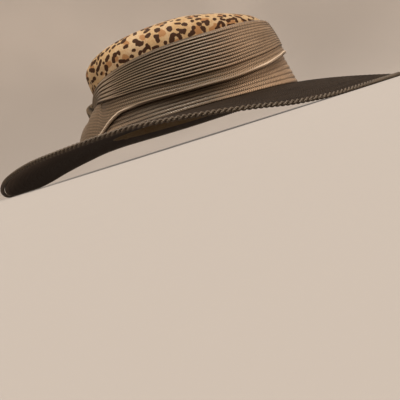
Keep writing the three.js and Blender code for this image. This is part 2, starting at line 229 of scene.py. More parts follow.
# Studio lights: name, power in watts, size, place, the point that the light is aimed at, and colour
LIGHTS = [
    ("key light", 26, 0.4, (0.1, -0.5, 1.35), (0, 0, 0.05), (1.0, 0.94, 0.86)),
    ("fill light", 9, 0.7, (-1.1, -0.7, 0.8), (0, 0, 0.05), (1.0, 0.93, 0.84)),
    ("front light", 5, 0.5, (1.0, -0.7, 0.5), (0.05, 0, 0.05), (1.0, 0.88, 0.74)),
    ("back light", 5, 1.2, (0.3, 1.1, 1.3), (0, 0, 0.05), (1.0, 0.95, 0.9)),
]

# Light of the studio's air, and how strongly the floor near the hat glows
AIR_COLOUR = (1.0, 0.93, 0.86, 1.0)
AIR_STRENGTH = 0.45
GLOW_STRENGTH = 0.13

# Width of the camera's sensor in millimetres
SENSOR_WIDTH = 36

# Tint of the braid's and the cord's gloss
GLOSS_TINT = (1.0, 0.86, 0.7, 1.0)


def length_setting(name, description, default, low=0.0):
    """A length in metres, with the least that it may be."""
    return FloatProperty(name=name, description=description, default=default, min=low, unit="LENGTH")


def count_setting(name, description, default, low):
    """A number of rows, with the least that it may be."""
    return IntProperty(name=name, description=description, default=default, min=low)


class DressHatSizes(PropertyGroup):
    """Sizes of the hat, all in metres."""

    crown_length: length_setting(
        "Crown Length", "Outside length of the crown, front to back", 0.200, 0.1
    )
    crown_width: length_setting("Crown Width", "Outside width of the crown, side to side", 0.170, 0.1)
    crown_height: length_setting(
        "Crown Height", "From the crown's seam to the top of its dome", 0.091, 0.05
    )
    dome_height: length_setting(
        "Dome Height", "The part of the crown's height that is rounded", 0.032, 0.01
    )
    crown_wall: length_setting(
        "Crown Wall", "Thickness of the crown's cloth and its backing", 0.002, 0.0005
    )
    brim_length: length_setting(
        "Brim Length", "Length of the brim over its cord, front to back", RIM_LENGTH, 0.2
    )
    brim_width: length_setting(
        "Brim Width", "Width of the brim over its cord, side to side", RIM_WIDTH, 0.2
    )
    brim_thickness: length_setting(
        "Brim Thickness", "Thickness of the brim's two layers of braid", 0.0022, 0.001
    )
    brim_lift: length_setting("Brim Lift", "Height of the crown's seam above the floor", 0.0265)
    rim_rise: length_setting("Rim Rise", "How far the sides of the rim curl up from the floor", 0.021)
    brim_rows: count_setting("Brim Rows", "Rows of braid between the crown and the rim", 26, 6)
    edge_cord: length_setting("Edge Cord", "Diameter of the twisted cord along the rim", 0.0036, 0.001)
    cord_lay: length_setting(
        "Cord Lay", "Length of one full turn of the cord's two plies", 0.0076, 0.002
    )
    tier_flare: length_setting(
        "Tier Flare", "The most that the lower tier's foot stands off the crown, at the back", 0.040
    )
    tier_rows: count_setting("Tier Rows", "Rows of braid in the lower tier", 8, 3)
    drape_top: length_setting(
        "Drape Top", "Height that the table of the drape's top edge gives shares of", 0.070, 0.03
    )
    drape_foot: length_setting(
        "Drape Foot", "Height that the table of the drape's folded edge gives shares of", 0.034, 0.01
    )
    drape_rows: count_setting(
        "Drape Rows", "Rows of braid above the flat strip along the drape's folded edge", 12, 3
    )
    wall: length_setting(
        "Braid Wall", "Thickness of the drape and the tier without their rows' relief", 0.002, 0.0005
    )
    row_relief: length_setting(
        "Row Relief", "How far each row's rounded back stands over its groove", 0.0014
    )
    wrap_width: length_setting("Wrap Width", "Width of the wrap that gathers the drape", 0.022, 0.005)
    wrap_depth: length_setting(
        "Wrap Depth", "How far the wrap stands out from the drape", 0.0095, 0.002
    )
    rosette_spacing: length_setting(
        "Rosette Spacing", "Least distance between two rosettes of the print", 0.0125, 0.005
    )


def colour_setting(name, description, default):
    """A colour setting with linear red, green and blue."""
    return FloatVectorProperty(
        name=name,
        description=description,
        subtype="COLOR",
        size=3,
        min=0,
        max=1,
        default=default,
    )


class DressHatColours(PropertyGroup):
    """Colours of the hat's cloth and braids, and of the studio."""

    cloth: colour_setting("Cloth", "Ground colour of the spotted cloth", (0.378, 0.271, 0.16))
    cloth_warm: colour_setting("Cloth Warm", "Faint warm patches of the ground", (0.33, 0.218, 0.107))
    cloth_dark: colour_setting("Spots", "Dark spots of the print", (0.03, 0.0105, 0.003))
    cloth_tan: colour_setting("Spot Centres", "Tan centres of the print", (0.225, 0.1, 0.035))
    braid_light: colour_setting("Braid Light", "Raised strands of the band", (0.135, 0.094, 0.058))
    braid_dark: colour_setting("Braid Dark", "Sunk strands of the band", (0.043, 0.029, 0.018))
    # Painted highlight: the band's strands are lighter at the hat's front and a little at its back
    braid_painted_highlight: colour_setting("Braid Pale", "Strands of the band at the front", (0.36, 0.238, 0.15))
    # Painted shade: the tier's raised strands are darker than the band's, for the shade under the fold
    tier_shaded: colour_setting("Tier Light", "Raised strands of the lower tier", (0.085, 0.058, 0.036))
    # Painted highlight of the tier's strands at the front
    tier_painted_highlight: colour_setting("Tier Pale", "Strands of the tier at the front", (0.46, 0.30, 0.188))
    # Painted highlight along the band's folded edge and on the crests of its gathered pleats
    fold_edge_highlight: colour_setting("Fold Edge", "Worn, shiny edge of the band's fold", (0.6, 0.47, 0.35))
    # Painted shade in the grooves between rows of braid
    groove: colour_setting("Groove", "Between two rows of braid", (0.008, 0.0055, 0.004))
    brim_light: colour_setting("Brim Light", "Raised strands of the brim", (0.028, 0.019, 0.013))
    brim_dark: colour_setting("Brim Dark", "Sunk strands of the brim", (0.0105, 0.007, 0.005))
    # Painted light: the brim's under face is made lighter, as if lit from below
    brim_under_painted_light: colour_setting("Brim Under", "Dull under face of the brim", (0.11, 0.080, 0.060))
    # Painted highlight on the cord's raised threads and painted shade in its hollows
    cord_highlight: colour_setting("Cord Light", "Worn tops of the twisted cord", (0.088, 0.061, 0.04))
    cord_hollow_shade: colour_setting("Cord Dark", "Hollows of the twisted cord", (0.026, 0.018, 0.012))
    floor: colour_setting("Floor", "Studio floor and backdrop", (0.235, 0.21, 0.19))
    glow: colour_setting("Glow", "Faint glow of the floor near the hat", (1.0, 0.88, 0.78))
    wall: colour_setting("Wall", "Studio wall behind the hat", (0.78, 0.71, 0.65))


def place_setting(name, description, default):
    """A point in space, in metres."""
    return FloatVectorProperty(
        name=name,
        description=description,
        subtype="XYZ",
        unit="LENGTH",
        size=3,
        default=default,
    )


class DressHatView(PropertyGroup):
    """Where the camera stands and how far it is rolled."""

    eye: place_setting("Eye", "The camera's place, just above the floor", (-0.01615, -0.4485, 0.0015))
    aim: place_setting("Aim", "The point that the camera looks at", (-0.01911, 0, -0.06697))
    roll: FloatProperty(
        name="Roll",
        description="How far the camera is rolled, so that the hat tips up at its front",
        subtype="ANGLE",
        default=-0.30421,
    )
    lens: FloatProperty(
        name="Lens",
        description="Focal length in millimetres on a sensor 36 millimetres wide",
        default=35.625,
        min=5,
    )


def read_table(rows, angle):
    """Smooth curve through a table's rows: cubic pieces whose tangent at each inner row is the harmonic
    mean of the slopes on its two sides, or level where these differ in sign, so none overshoots."""
    at, value = np.array(rows, dtype=float).T
    span = np.diff(at)
    slope = np.diff(value) / span
    before, after = slope[:-1], slope[1:]
    rising = before * after > 0
    inner = np.where(rising, 2 * before * after / np.where(rising, before + after, 1), 0)
    tangent = np.concatenate([[0], inner, [0]])
    row = np.clip(np.searchsorted(at, angle, side="right") - 1, 0, len(span) - 1)
    t = (angle - at[row]) / span[row]
    return (
        (2 * t**3 - 3 * t**2 + 1) * value[row]
        + (t**3 - 2 * t**2 + t) * span[row] * tangent[row]
        + (3 * t**2 - 2 * t**3) * value[row + 1]
        + (t**3 - t**2) * span[row] * tangent[row + 1]
    )


def mix(start, end, share):
    return start + (end - start) * share


def smooth_step(x, low, high):
    """Eases from 0 at low to 1 at high as three times the square less twice the cube."""
    t = np.clip((x - low) / (high - low), 0, 1)
    return t * t * (3 - 2 * t)


def oval(length, width, angle, out):
    """Point of an oval at an angle in degrees, a cosine by b sine, moved out along its normal."""
    a, b = length / 2, width / 2
    c, s = np.cos(np.radians(angle)), np.sin(np.radians(angle))
    size = np.hypot(c / a, s / b)
    return a * c + out * c / a / size, b * s + out * s / b / size


def seam_plane(sizes, forward):
    """Height of the crown's seam at a distance forward of the crown's middle."""
    return sizes.brim_lift - SEAM_SLOPE * forward


def points_at(x, y, z):
    """Points by their three coordinates, which are spread to one shape."""
    return np.stack(np.broadcast_arrays(x, y, z), axis=-1)


def beside_crown(sizes, angle, height, off):
    """Points at an angle, a height over the seam and a distance off the crown's leaning wall."""
    x, y = oval(sizes.crown_length, sizes.crown_width, angle, off)
    forward = x - CROWN_LEAN * height
    z = seam_plane(sizes, forward) + height
    return points_at(CROWN_FORWARD + forward, y, z)


def rim_height(sizes, angle):
    return sizes.rim_rise * read_table(RIM_ROWS, angle)


def on_brim(sizes, angle, share, over):
    """Points a share of the way from the crown to the rim, at a distance over the brim's mid-face.
    Plan and height run straight from one to the other, but the height by the share's droop power."""
    inner = beside_crown(sizes, angle, over - sizes.brim_thickness / 2, CLEARANCE)
    reach = -sizes.edge_cord - CLEARANCE
    x, y = oval(sizes.brim_length, sizes.brim_width, angle, reach)
    z = rim_height(sizes, angle) + sizes.edge_cord / 2 + over
    return mix(inner, points_at(x, y, z), points_at(share, share, share**BRIM_DROOP_POWER))


def brim_top_height(sizes, angle, off):
    """Height over the seam's plane at which something stands on the brim, this far off the crown."""
    half = sizes.brim_thickness / 2
    inner = on_brim(sizes, angle, 0, half)
    rim = on_brim(sizes, angle, 1, half)
    reach = np.hypot(rim[..., 0] - inner[..., 0], rim[..., 1] - inner[..., 1])
    top = on_brim(sizes, angle, off / reach, half)
    return top[..., 2] - seam_plane(sizes, top[..., 0] - CROWN_FORWARD)


def wrap_span(sizes):
    """Degrees either way from the back that the wrap covers."""
    return np.degrees(sizes.wrap_width / sizes.crown_width)


def gather_end(sizes):
    """Degrees from the front at which the drape is fully gathered, just before the wrap."""
    return 180 - wrap_span(sizes) - GATHER_MARGIN


def tier_at(sizes, angle):
    """The tier at an angle: heights of its edges, how far its foot stands off and its slope's power."""
    side = np.abs(angle)
    drape_foot = sizes.drape_foot * read_table(DRAPE_FOOT_ROWS, side)
    untucked = smooth_step(side, *UNTUCK_SPAN)
    from_wrap = np.maximum(0, gather_end(sizes) - side)
    below_wrap = drape_foot - WRAP_WALL - 2 * CLEARANCE + TIER_CLIMB * from_wrap
    top = np.minimum(drape_foot + mix(TIER_TUCK, -1.5 * CLEARANCE, untucked), below_wrap)
    foot_off = sizes.tier_flare * read_table(TIER_FLARE_ROWS, side)
    foot = brim_top_height(sizes, angle, foot_off) + CLEARANCE
    return top, foot, foot_off, read_table(TIER_SLOPE_ROWS, side)


def tier_point(sizes, tier, share):
    """How far the tier's outer face stands off the crown, and its height, a share of the way from its
    top edge to its foot."""
    top, foot, foot_off, slope = tier
    pace = 2 / (1 + slope)
    share = np.maximum(share, 0)
    off = mix(CLEARANCE + sizes.wall, foot_off, share ** (pace * slope))
    return off, mix(top, foot, share**pace)


def tier_face(sizes, angle, height):
    """How far the tier's outer face stands off the crown at a height."""
    top, foot, foot_off, slope = tier_at(sizes, angle)
    down = np.clip((top - height) / (top - foot), 0, 1)
    return mix(CLEARANCE + sizes.wall, foot_off, down**slope)


def slope_way(near, ahead):
    """The way from one point of a side view to another: its parts outwards and upwards."""
    out, up = ahead[0] - near[0], ahead[1] - near[1]
    size = np.hypot(out, up)
    return out / size, up / size


def drape_at(sizes, angle):
    """The drape at an angle: heights of its top and foot, how far its inner face stands off at each,
    and how much it is drawn together there."""
    side = np.abs(angle)
    top = sizes.drape_top * read_table(DRAPE_TOP_ROWS, side)
    foot = sizes.drape_foot * read_table(DRAPE_FOOT_ROWS, side)
    drawn = smooth_step(side, GATHER_START, gather_end(sizes))
    seat = CLEARANCE + drawn * (WRAP_WALL + CLEARANCE)
    eased = tier_face(sizes, angle, foot) + ROW_STEP + CLEARANCE + DRAPE_EASE
    return top, foot, seat, mix(eased, seat, drawn), drawn


def around(count):
    """Equal angles in degrees all round, from the back over the wearer's right to the front and on."""
    return -180 + 360 * np.arange(count)[:, None] / count


def wander(angle, columns, seed):
    """Slow waves round the hat, one set for each column: sines with seeded phases, within 1 in all."""
    phases = np.random.default_rng(seed).uniform(0, 2 * np.pi, (len(WAVES), columns))
    heights = 1 / (1 + np.arange(len(WAVES)))
    turn = np.radians(angle)
    total = sum(h * np.sin(k * turn + p[None, :]) for h, k, p in zip(heights, WAVES, phases))
    return total / heights.sum()


def along_rows(points):
    """Mean length in millimetres along the rows of a ring of points, at each column and back at the
    first one. It is the same for all rows, so that no strand is sheared across its row."""
    ring = np.concatenate([points, points[:1]])
    steps = np.linalg.norm(np.diff(ring, axis=0), axis=-1).mean(axis=1)
    return np.concatenate([[0], np.cumsum(steps)]) / MM


def swept_mesh(name, points, closed, ends=None, rows=None, fields=None):
    """A closed mesh from a grid of points: columns run all round, and each column's points run up one
    side and down the other. It is closed down the columns too, or capped by two end points. The
    faces are turned outwards by the sign of the volume, a sixth of the sum of corner products.
    rows gives each point's row number for the UV map, and fields what is kept on each point."""
    columns, size, _ = points.shape
    vertices = points.reshape(-1, 3)
    index = np.arange(columns * size).reshape(columns, size)
    index = np.concatenate([index, index[:1]])
    if closed:
        index = np.concatenate([index, index[:, :1]], axis=1)
    faces = np.stack([index[:-1, :-1], index[1:, :-1], index[1:, 1:], index[:-1, 1:]], axis=-1)
    faces = faces.reshape(-1, 4)
    caps = np.zeros((0, 3), dtype=int)
    if ends is not None:
        first, last = len(vertices), len(vertices) + 1
        vertices = np.concatenate([vertices, ends])
        low = np.stack([np.full(columns, first), index[1:, 0], index[:-1, 0]], axis=-1)
        high = np.stack([np.full(columns, last), index[:-1, -1], index[1:, -1]], axis=-1)
        caps = np.concatenate([low, high])
    a, b, c, d = (vertices[faces[:, k]] for k in range(4))
    volume = (np.cross(a, b) * c).sum() + (np.cross(a, c) * d).sum()
    turned = volume < 0
    if turned:
        faces = faces[:, ::-1]
        caps = caps[:, ::-1]
    mesh = bpy.data.meshes.new(name)
    mesh.from_pydata(vertices.tolist(), [], faces.tolist() + caps.tolist())
    mesh.polygons.foreach_set("use_smooth", np.ones(len(mesh.polygons), dtype=bool))
    if rows is not None:
        down = np.broadcast_to(rows, points.shape[:2])
        down = np.concatenate([down, down[:1]])
        if closed:
            down = np.concatenate([down, down[:, -1:] + 1], axis=1)
        along = np.broadcast_to(along_rows(points)[:, None], down.shape)
        pairs = np.stack([along, down], axis=-1)
        corners = [pairs[:-1, :-1], pairs[1:, :-1], pairs[1:, 1:], pairs[:-1, 1:]]
        loops = np.stack(corners[::-1] if turned else corners, axis=2)
        mesh.uv_layers.new(name="Rows").data.foreach_set("uv", loops.reshape(-1).astype(np.float32))
    for field, values in (fields or {}).items():
        layer = mesh.attributes.new(field, "FLOAT", "POINT")
        layer.data.foreach_set("value", np.asarray(values, dtype=np.float32).reshape(-1))
    mesh.update()
    piece = bpy.data.objects.new(name, mesh)
    bpy.context.scene.collection.objects.link(piece)
    return piece


def dress(piece, finish, node):
    """Gives a piece its finish, and has it stand for its CAD node on the hat's one body."""
    piece.data.materials.append(finish)
    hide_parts(node)
    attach(piece, "root")
    return piece


def dome_arc(sizes):
    """Length down the mean profile of the dome, and the turn that is reached at each length."""
    turn = np.linspace(np.pi / 2, 0, 2001)
    radius = (sizes.crown_length + sizes.crown_width) / 4
    x = radius * np.cos(turn) ** (2 / DOME_POWER)
    x[0] = 0
    z = sizes.dome_height * np.sin(turn) ** (2 / DOME_POWER)
    length = np.concatenate([[0], np.cumsum(np.hypot(np.diff(x), np.diff(z)))])
    return length, turn


def crown_face(sizes, angle, down, inset):
    """Points of one face of the crown, a length down from the top: over the dome, where width and rise
    follow a cosine and a sine to the power two over the dome's, then straight down the wall. Towards
    the front the cloth sinks a little below that shape, the more so the higher it is."""
    length, turns = dome_arc(sizes)
    turn = np.interp(down, length, turns)
    straight = sizes.crown_height - sizes.dome_height
    on_wall = down > length[-1]
    rise = straight + (sizes.dome_height - inset) * np.sin(turn) ** (2 / DOME_POWER)
    rise = np.where(on_wall, straight - (down - length[-1]), rise)
    wide = np.where(on_wall, 1, np.cos(turn) ** (2 / DOME_POWER))
    x, y = oval(sizes.crown_length, sizes.crown_width, angle, -inset)
    rise = rise - FRONT_SAG * smooth_step(x * wide, *SAG_SPAN) * (rise / sizes.crown_height) ** 2
    forward = x * wide - CROWN_LEAN * rise
    return points_at(CROWN_FORWARD + forward, y * wide, seam_plane(sizes, forward) + rise)


def spot_distance(points, centre, long_way, half_length, half_width):
    """Distance from a spot's outline, below zero inside. The spot is a rounded bar, whose core runs
    along its long way by the half length less the half width."""
    offset = points - centre
    core = max(half_length - half_width, 0)
    t = np.clip(offset @ long_way, -core, core)
    return np.linalg.norm(offset - t[:, None] * long_way, axis=1) - half_width


def face_frame(sizes, angle, down):
    """A point of the crown's outer face, and unit vectors round it and down it there. They are taken
    from steps of half a degree and half a millimetre."""
    middle = crown_face(sizes, angle, down, 0)
    round_way = crown_face(sizes, angle + 0.5, down, 0) - middle
    down_way = crown_face(sizes, angle, down + 0.5 * MM, 0) - middle
    round_way /= np.linalg.norm(round_way)
    down_way -= round_way * (down_way @ round_way)
    return middle, np.stack([round_way, down_way / np.linalg.norm(down_way)])


def heading(ways, turn):
    """Unit vector in the face, turned by an angle in radians from the way round to the way down."""
    return np.cos(turn) * ways[0] + np.sin(turn) * ways[1]


def print_fields(sizes, points):
    """Distances in millimetres from the nearest dark spot and the nearest tan centre, below zero
    inside. The wearer's right side has its charted spots. Elsewhere rosettes are dropped by a seeded
    dart throw, none nearer to another than the spacing: a tan centre with three or four dark bars
    round it. Small single spots fill the gaps between them."""
    dark = np.full(len(points), FARTHEST * MM)
    tan = dark.copy()
    charted, rosettes, singles = [], [], []

    def lay(field, centre, long_way, half_length, half_width):
        near = np.abs(points - centre).max(axis=1) < half_length + SPOT_MARGIN * MM
        bar = spot_distance(points[near], centre, long_way, half_length, half_width)
        field[near] = np.minimum(field[near], bar)

    def nearest(centres, point):
        return np.linalg.norm(np.array(centres) - point, axis=1).min() / MM if centres else np.inf

    for field, rows in ((dark, DARK_SPOTS), (tan, TAN_SPOTS)):
        for angle, down, half_length, half_width, turn in rows:
            middle, ways = face_frame(sizes, angle, down * MM)
            grown = [(half + CHART_GROWTH) * MM for half in (half_length, half_width)]
            lay(field, middle, heading(ways, np.radians(turn)), *grown)
            charted.append(middle)
    throw = np.random.default_rng(PRINT_SEED)
    for attempt in range(ROSETTE_THROWS + SINGLE_THROWS):
        angle = throw.uniform(-180, 180)
        down = (sizes.crown_length / 2 + PRINT_REACH) * np.sqrt(throw.uniform(0, 1))
        turn = throw.uniform(0, 2 * np.pi)
        size = throw.uniform(0.85, 1.15) * MM
        middle, ways = face_frame(sizes, angle, down)
        from_chart = nearest(charted, middle)
        from_rosette = nearest(rosettes, middle)
        if attempt < ROSETTE_THROWS:
            if from_chart < ROSETTE_FROM_CHART or from_rosette * MM < sizes.rosette_spacing:
                continue
            rosettes.append(middle)
            bars = 3 + int(turn * 10) % 2
            lay(tan, middle, ways[0], *(half * size for half in ROSETTE_CENTRE))
            for k in range(bars):
                t = turn + 2 * np.pi * (k + 0.25 * np.sin(7 * turn + k)) / bars
                centre = middle + ROSETTE_RING * size * heading(ways, t)
                half_length = (ROSETTE_BAR[0] + BAR_VARIES * np.sin(5 * turn + 2 * k)) * size
                lay(dark, centre, heading(ways, t + np.pi / 2), half_length, ROSETTE_BAR[1] * size)
            continue
        if from_chart < SINGLE_FROM_CHART or from_rosette < SINGLE_FROM_ROSETTE:
            continue
        if nearest(singles, middle) < SINGLE_FROM_SINGLE:
            continue
        singles.append(middle)
        lay(dark, middle, heading(ways, turn), *(half * size for half in SINGLE_SPOT))
    return dark / MM, tan / MM


def crown_piece(sizes, finish):
    """Domed cloth crown. Its outer face has soft folds over the wrap, waves round the crown that fade
    away from the back and towards the top of the dome, and a slow slackness round its shoulder."""
    angle = around(480)
    turn = np.radians(angle)
    shoulder = dome_arc(sizes)[0][-1]
    foot = shoulder + sizes.crown_height - sizes.dome_height + sizes.brim_thickness
    shown = shoulder + 12 * MM
    outer_down = np.concatenate([np.linspace(foot, shown, 8)[:-1], np.linspace(shown, 1 * MM, 118)])
    inner_down = np.concatenate([np.linspace(4 * MM, shoulder, 24), np.linspace(shoulder, foot, 8)[1:]])
    outer = crown_face(sizes, angle, outer_down[None, :], 0)
    inner = crown_face(sizes, angle, inner_down[None, :], sizes.crown_wall)
    middle = outer.mean(axis=(0, 1))
    outward = (outer - middle) / np.linalg.norm(outer - middle, axis=-1, keepdims=True)
    below_shoulder = (outer_down[None, :] - shoulder) / MM
    low = smooth_step(below_shoulder, -34, 2)
    back = 1 - smooth_step(180 - np.abs(angle), 14, 62)
    folds = np.sin(turn * 23 + below_shoulder * 0.03) + 0.6 * np.sin(turn * 37 + 1)
    slack = wander(angle, len(outer_down), seed=5)[:, :1] * np.exp(-((below_shoulder + 8) / 16) ** 2)
    outer = outer + outward * ((folds * back * low * 0.45 + slack * 0.5) * MM)[..., None]
    points = np.concatenate([inner, outer], axis=1)
    ends = np.stack([crown_face(sizes, 0.0, 0.0, inset) for inset in (sizes.crown_wall, 0)])
    dark, tan = print_fields(sizes, np.concatenate([points.reshape(-1, 3), ends]))
    piece = swept_mesh("crown_cloth", points, False, ends, fields={"dark_spot": dark, "tan_spot": tan})
    return dress(piece, finish, "crown")


def rib(part):
    """Rounded back of one row of braid across its width: a sine that is skewed down the row, raised to
    a power below one, so that it falls steeply into the groove on each side."""
    return np.sin(np.pi * part**0.75) ** 0.8


def rolled(count):
    """Angles round half a turn without its ends, for a rolled edge."""
    return np.pi * (np.arange(count) + 1) / (count + 1)


def row_points(borders):
    """Places of all points across rows that have these borders, one line for each angle."""
    return mix(borders[:, :-1, None], borders[:, 1:, None], ROW_PARTS).reshape(len(borders), -1)


def row_numbers(rows, size, spare):
    """Row number of each of a column's points: through the rows, then on over the spare ones."""
    numbers = (np.arange(rows)[:, None] + ROW_PARTS).reshape(-1)
    rest = rows + np.linspace(0, spare, size - len(numbers) + 1)[1:]
    return np.concatenate([numbers, rest])[None, :]


def opened(angle):
    """How far the drape's fold has opened out towards the back: 0 along the sides, 1 below the wrap."""
    return smooth_step(np.abs(angle), *OPEN_SPAN)


def front_relief(side):
    """What the rows' relief gains at the very front, where they show along the hat's outline."""
    return 0.45 * (1 - smooth_step(side, *FRONT_SPAN))


def strip_share(angle):
    """Share of the drape's height that its flat strip takes."""
    return read_table(STRIP_ROWS, np.abs(angle))


def drape_piece(sizes, finish):
    """Pleated rows of the draped band, gathered at the back. Row borders wander a little. Each row's
    back is a rib over the wall, lower at the front. Where the rows crowd in to the wrap, each two of
    them are drawn up into one deeper pleat. The band as a whole bellies out by a sine between its two
    rolled edges."""
    angle = around(600)
    side = np.abs(angle)
    top, foot, top_off, foot_off, drawn = drape_at(sizes, angle)
    rows = sizes.drape_rows
    start = strip_share(angle)
    borders = mix(start, 1, np.arange(rows + 1)[None, :] / rows)
    loose = wander(angle, rows + 1, seed=11) * ROW_WANDER / (top - foot)
    loose[:, [0, -1]] = 0
    borders = borders + loose * (1 - 0.7 * drawn)
    pitch = np.diff(borders, axis=1) * (top - foot) / ROW_PITCH
    depth = (mix(0.3, 1.0, smooth_step(side, *RELIEF_SPAN)) + front_relief(side)) * sizes.row_relief
    single = depth * np.clip(pitch, 0.3, 1)
    double = 1.25 * depth * np.clip(2 * pitch, 0.3, 1)
    pairs = (np.arange(rows)[:, None] % 2 + ROW_PARTS) / 2
    drawn_up = smooth_step(side, *PAIR_SPAN)[:, :, None]
    relief = mix(single[:, :, None] * rib(ROW_PARTS), double[:, :, None] * rib(pairs), drawn_up)
    # Painted highlight on the crests of the pleats that are drawn up towards the wrap
    crest_highlight = 0.24 * drawn_up * rib(pairs) ** 3
    belly = DRAPE_BELLY * (1 - drawn)

    def place(share, lift, out):
        height = mix(foot, top, share) + lift
        off = mix(foot_off, top_off, share) + out + belly * np.sin(np.pi * np.clip(share, 0, 1))
        return beside_crown(sizes, angle, height, off)

    turn = rolled(4)[None, :]
    half = sizes.wall / 2
    crest = place(np.ones_like(turn), half * np.sin(turn), half + half * np.cos(turn))
    hem = place(start + 0 * turn, half * (0.3 - np.sin(turn)), half - half * np.cos(turn))
    inside = place(mix(start, 1, np.array([[1, 0.66, 0.33, 0]])), 0, 0 * angle)
    outside = place(row_points(borders), 0, sizes.wall + relief.reshape(len(angle), -1))
    points = np.concatenate([outside, crest, inside, hem], axis=1)
    painted_light = np.zeros(points.shape[:2])
    painted_light[:, : outside.shape[1]] = crest_highlight.reshape(len(angle), -1)
    numbers = row_numbers(rows, points.shape[1], rows)
    piece = swept_mesh("upper_band_braid", points, True, rows=numbers, fields={"painted_light": painted_light})
    return dress(piece, finish, "upper_band")


def fold_piece(sizes, finish):
    """Flat strip below the pleats, which ends in the drape's folded edge. Along the sides it follows
    the drape's face. Towards the back the fold opens out, so the strip widens and follows the tier's
    slope down to the brim. Rows are counted down from the pleats, each a low rib. The fold's edge is
    a bead with a painted highlight at the front and at the back."""
    angle = around(600)
    side = np.abs(angle)
    top, foot, top_off, foot_off, _ = drape_at(sizes, angle)
    rear = opened(angle)
    down = np.linspace(0, 1, 64)[None, :]
    share = strip_share(angle) * (1 - down)
    side_off = mix(foot_off, top_off, share) + FOLD_FLARE * down**4
    side_height = mix(foot, top, share)
    _, tier_foot, tier_off, slope = tier_at(sizes, angle)
    under_wrap = drape_at(sizes, gather_end(sizes))[1] - WRAP_WALL - 2 * CLEARANCE
    under_wrap = under_wrap + STRIP_CLIMB * np.maximum(0, STRIP_LEAVES_WRAP - side)
    strip = (np.minimum(side_height[:, :1], under_wrap), tier_foot, tier_off, slope)
    along_slope = down * 0.97 + 0.001
    slope_off, slope_height = tier_point(sizes, strip, along_slope)
    slope_off = slope_off + (side_off[:, :1] - slope_off[:, :1]) * (1 - down) ** 2
    way_out, way_up = slope_way((slope_off, slope_height), tier_point(sizes, strip, along_slope + 0.01))
    normal_off = mix(1, -way_up, rear)
    normal_up = mix(0, way_out, rear)
    base_off = mix(side_off, slope_off, rear)
    base_height = mix(side_height, slope_height, rear)
    run = np.hypot(np.diff(base_off, axis=1), np.diff(base_height, axis=1))
    run = np.concatenate([np.zeros_like(angle), np.cumsum(run, axis=1)], axis=1)
    row = run / ROW_PITCH
    inner = mix(0.1, -0.9, rear) * MM
    outer = mix(sizes.wall, 0.5 * MM, rear)
    bead = np.exp(-(((run - run[:, -1:]) / MM + 0.9) / 0.7) ** 2)
    relief = (0.5 * rib(row % 1) * smooth_step(run, 0, 1 * MM) + 0.45 * bead * (1 - rear)) * MM

    def place(columns, away, lift=0.0):
        height = base_height[:, columns] + normal_up[:, columns] * away + lift
        return beside_crown(sizes, angle, height, base_off[:, columns] + normal_off[:, columns] * away)

    turn = rolled(5)[None, :]
    middle, half = (inner + outer) / 2, (outer - inner) / 2
    outside = place(slice(None), outer + relief)
    hem = place([-1] * 5, middle + (half + 0.35 * MM) * np.cos(turn), -1.3 * half * np.sin(turn))
    inside = place([-1, 48, 32, 20, 10, 4, 0], inner)
    crest = place([0, 0], middle + half * np.array([[-0.6, 0.6]]), -0.1 * MM)
    points = np.concatenate([outside, hem, inside, crest], axis=1)
    count = row.shape[1]
    beyond = 1 + np.arange(points.shape[1] - count)[None, :]
    numbers = np.concatenate([row, row[:, -1:] + 0.3 * beyond], axis=1)
    # Painted highlight along the fold's bead and hem, strongest at the front and towards the back
    painted_light = np.zeros(points.shape[:2])
    painted_light[:, :count] = bead
    painted_light[:, count : count + hem.shape[1]] = 1
    painted_light *= mix(0.15, 1, smooth_step(side, *HIGHLIGHT_BACK_SPAN) + 1 - smooth_step(side, *HIGHLIGHT_FRONT_SPAN))
    piece = swept_mesh("upper_band_fold", points, True, rows=numbers, fields={"painted_light": painted_light})
    return dress(piece, finish, "upper_band")


def tier_piece(sizes, finish):
    """Flared tier of sewn rows that stands on the brim. Its rows have ribs as the drape's do, along the
    tier's curved slope, and its inner face runs a wall's thickness behind the outer one."""
    angle = around(560)
    tier = tier_at(sizes, angle)
    rows = sizes.tier_rows
    borders = 1 - np.arange(rows + 1)[None, :] / rows + wander(angle, rows + 1, seed=23) * 0.008
    borders[:, 0] = 1
    borders[:, -1] = 0
    off, height = tier_point(sizes, tier, row_points(borders))
    rear = opened(angle)
    depth = (0.35 + 0.6 * front_relief(np.abs(angle))) * sizes.row_relief * (1 - rear)
    relief = depth * np.tile(rib(ROW_PARTS), rows) - TIER_SINK * rear
    outside = beside_crown(sizes, angle, height, off + relief)
    back = np.array([[0, 0.06, 0.2, 0.5, 0.98]])
    near = tier_point(sizes, tier, back)
    way_out, way_up = slope_way(near, tier_point(sizes, tier, back + 0.01))
    inner_off = np.maximum(near[0] + sizes.wall * way_up, CLEARANCE)
    floor = brim_top_height(sizes, angle, inner_off) + CLEARANCE
    inside = beside_crown(sizes, angle, np.maximum(near[1] - sizes.wall * way_out, floor), inner_off)
    crest = 0.5 * (outside[:, -1:] + inside[:, :1]) + np.array([0, 0, 0.6 * MM])
    points = np.concatenate([outside, crest, inside], axis=1)
    numbers = row_numbers(rows, points.shape[1], 3)
    piece = swept_mesh("lower_band_braid", points, True, rows=numbers)
    return dress(piece, finish, "lower_band")


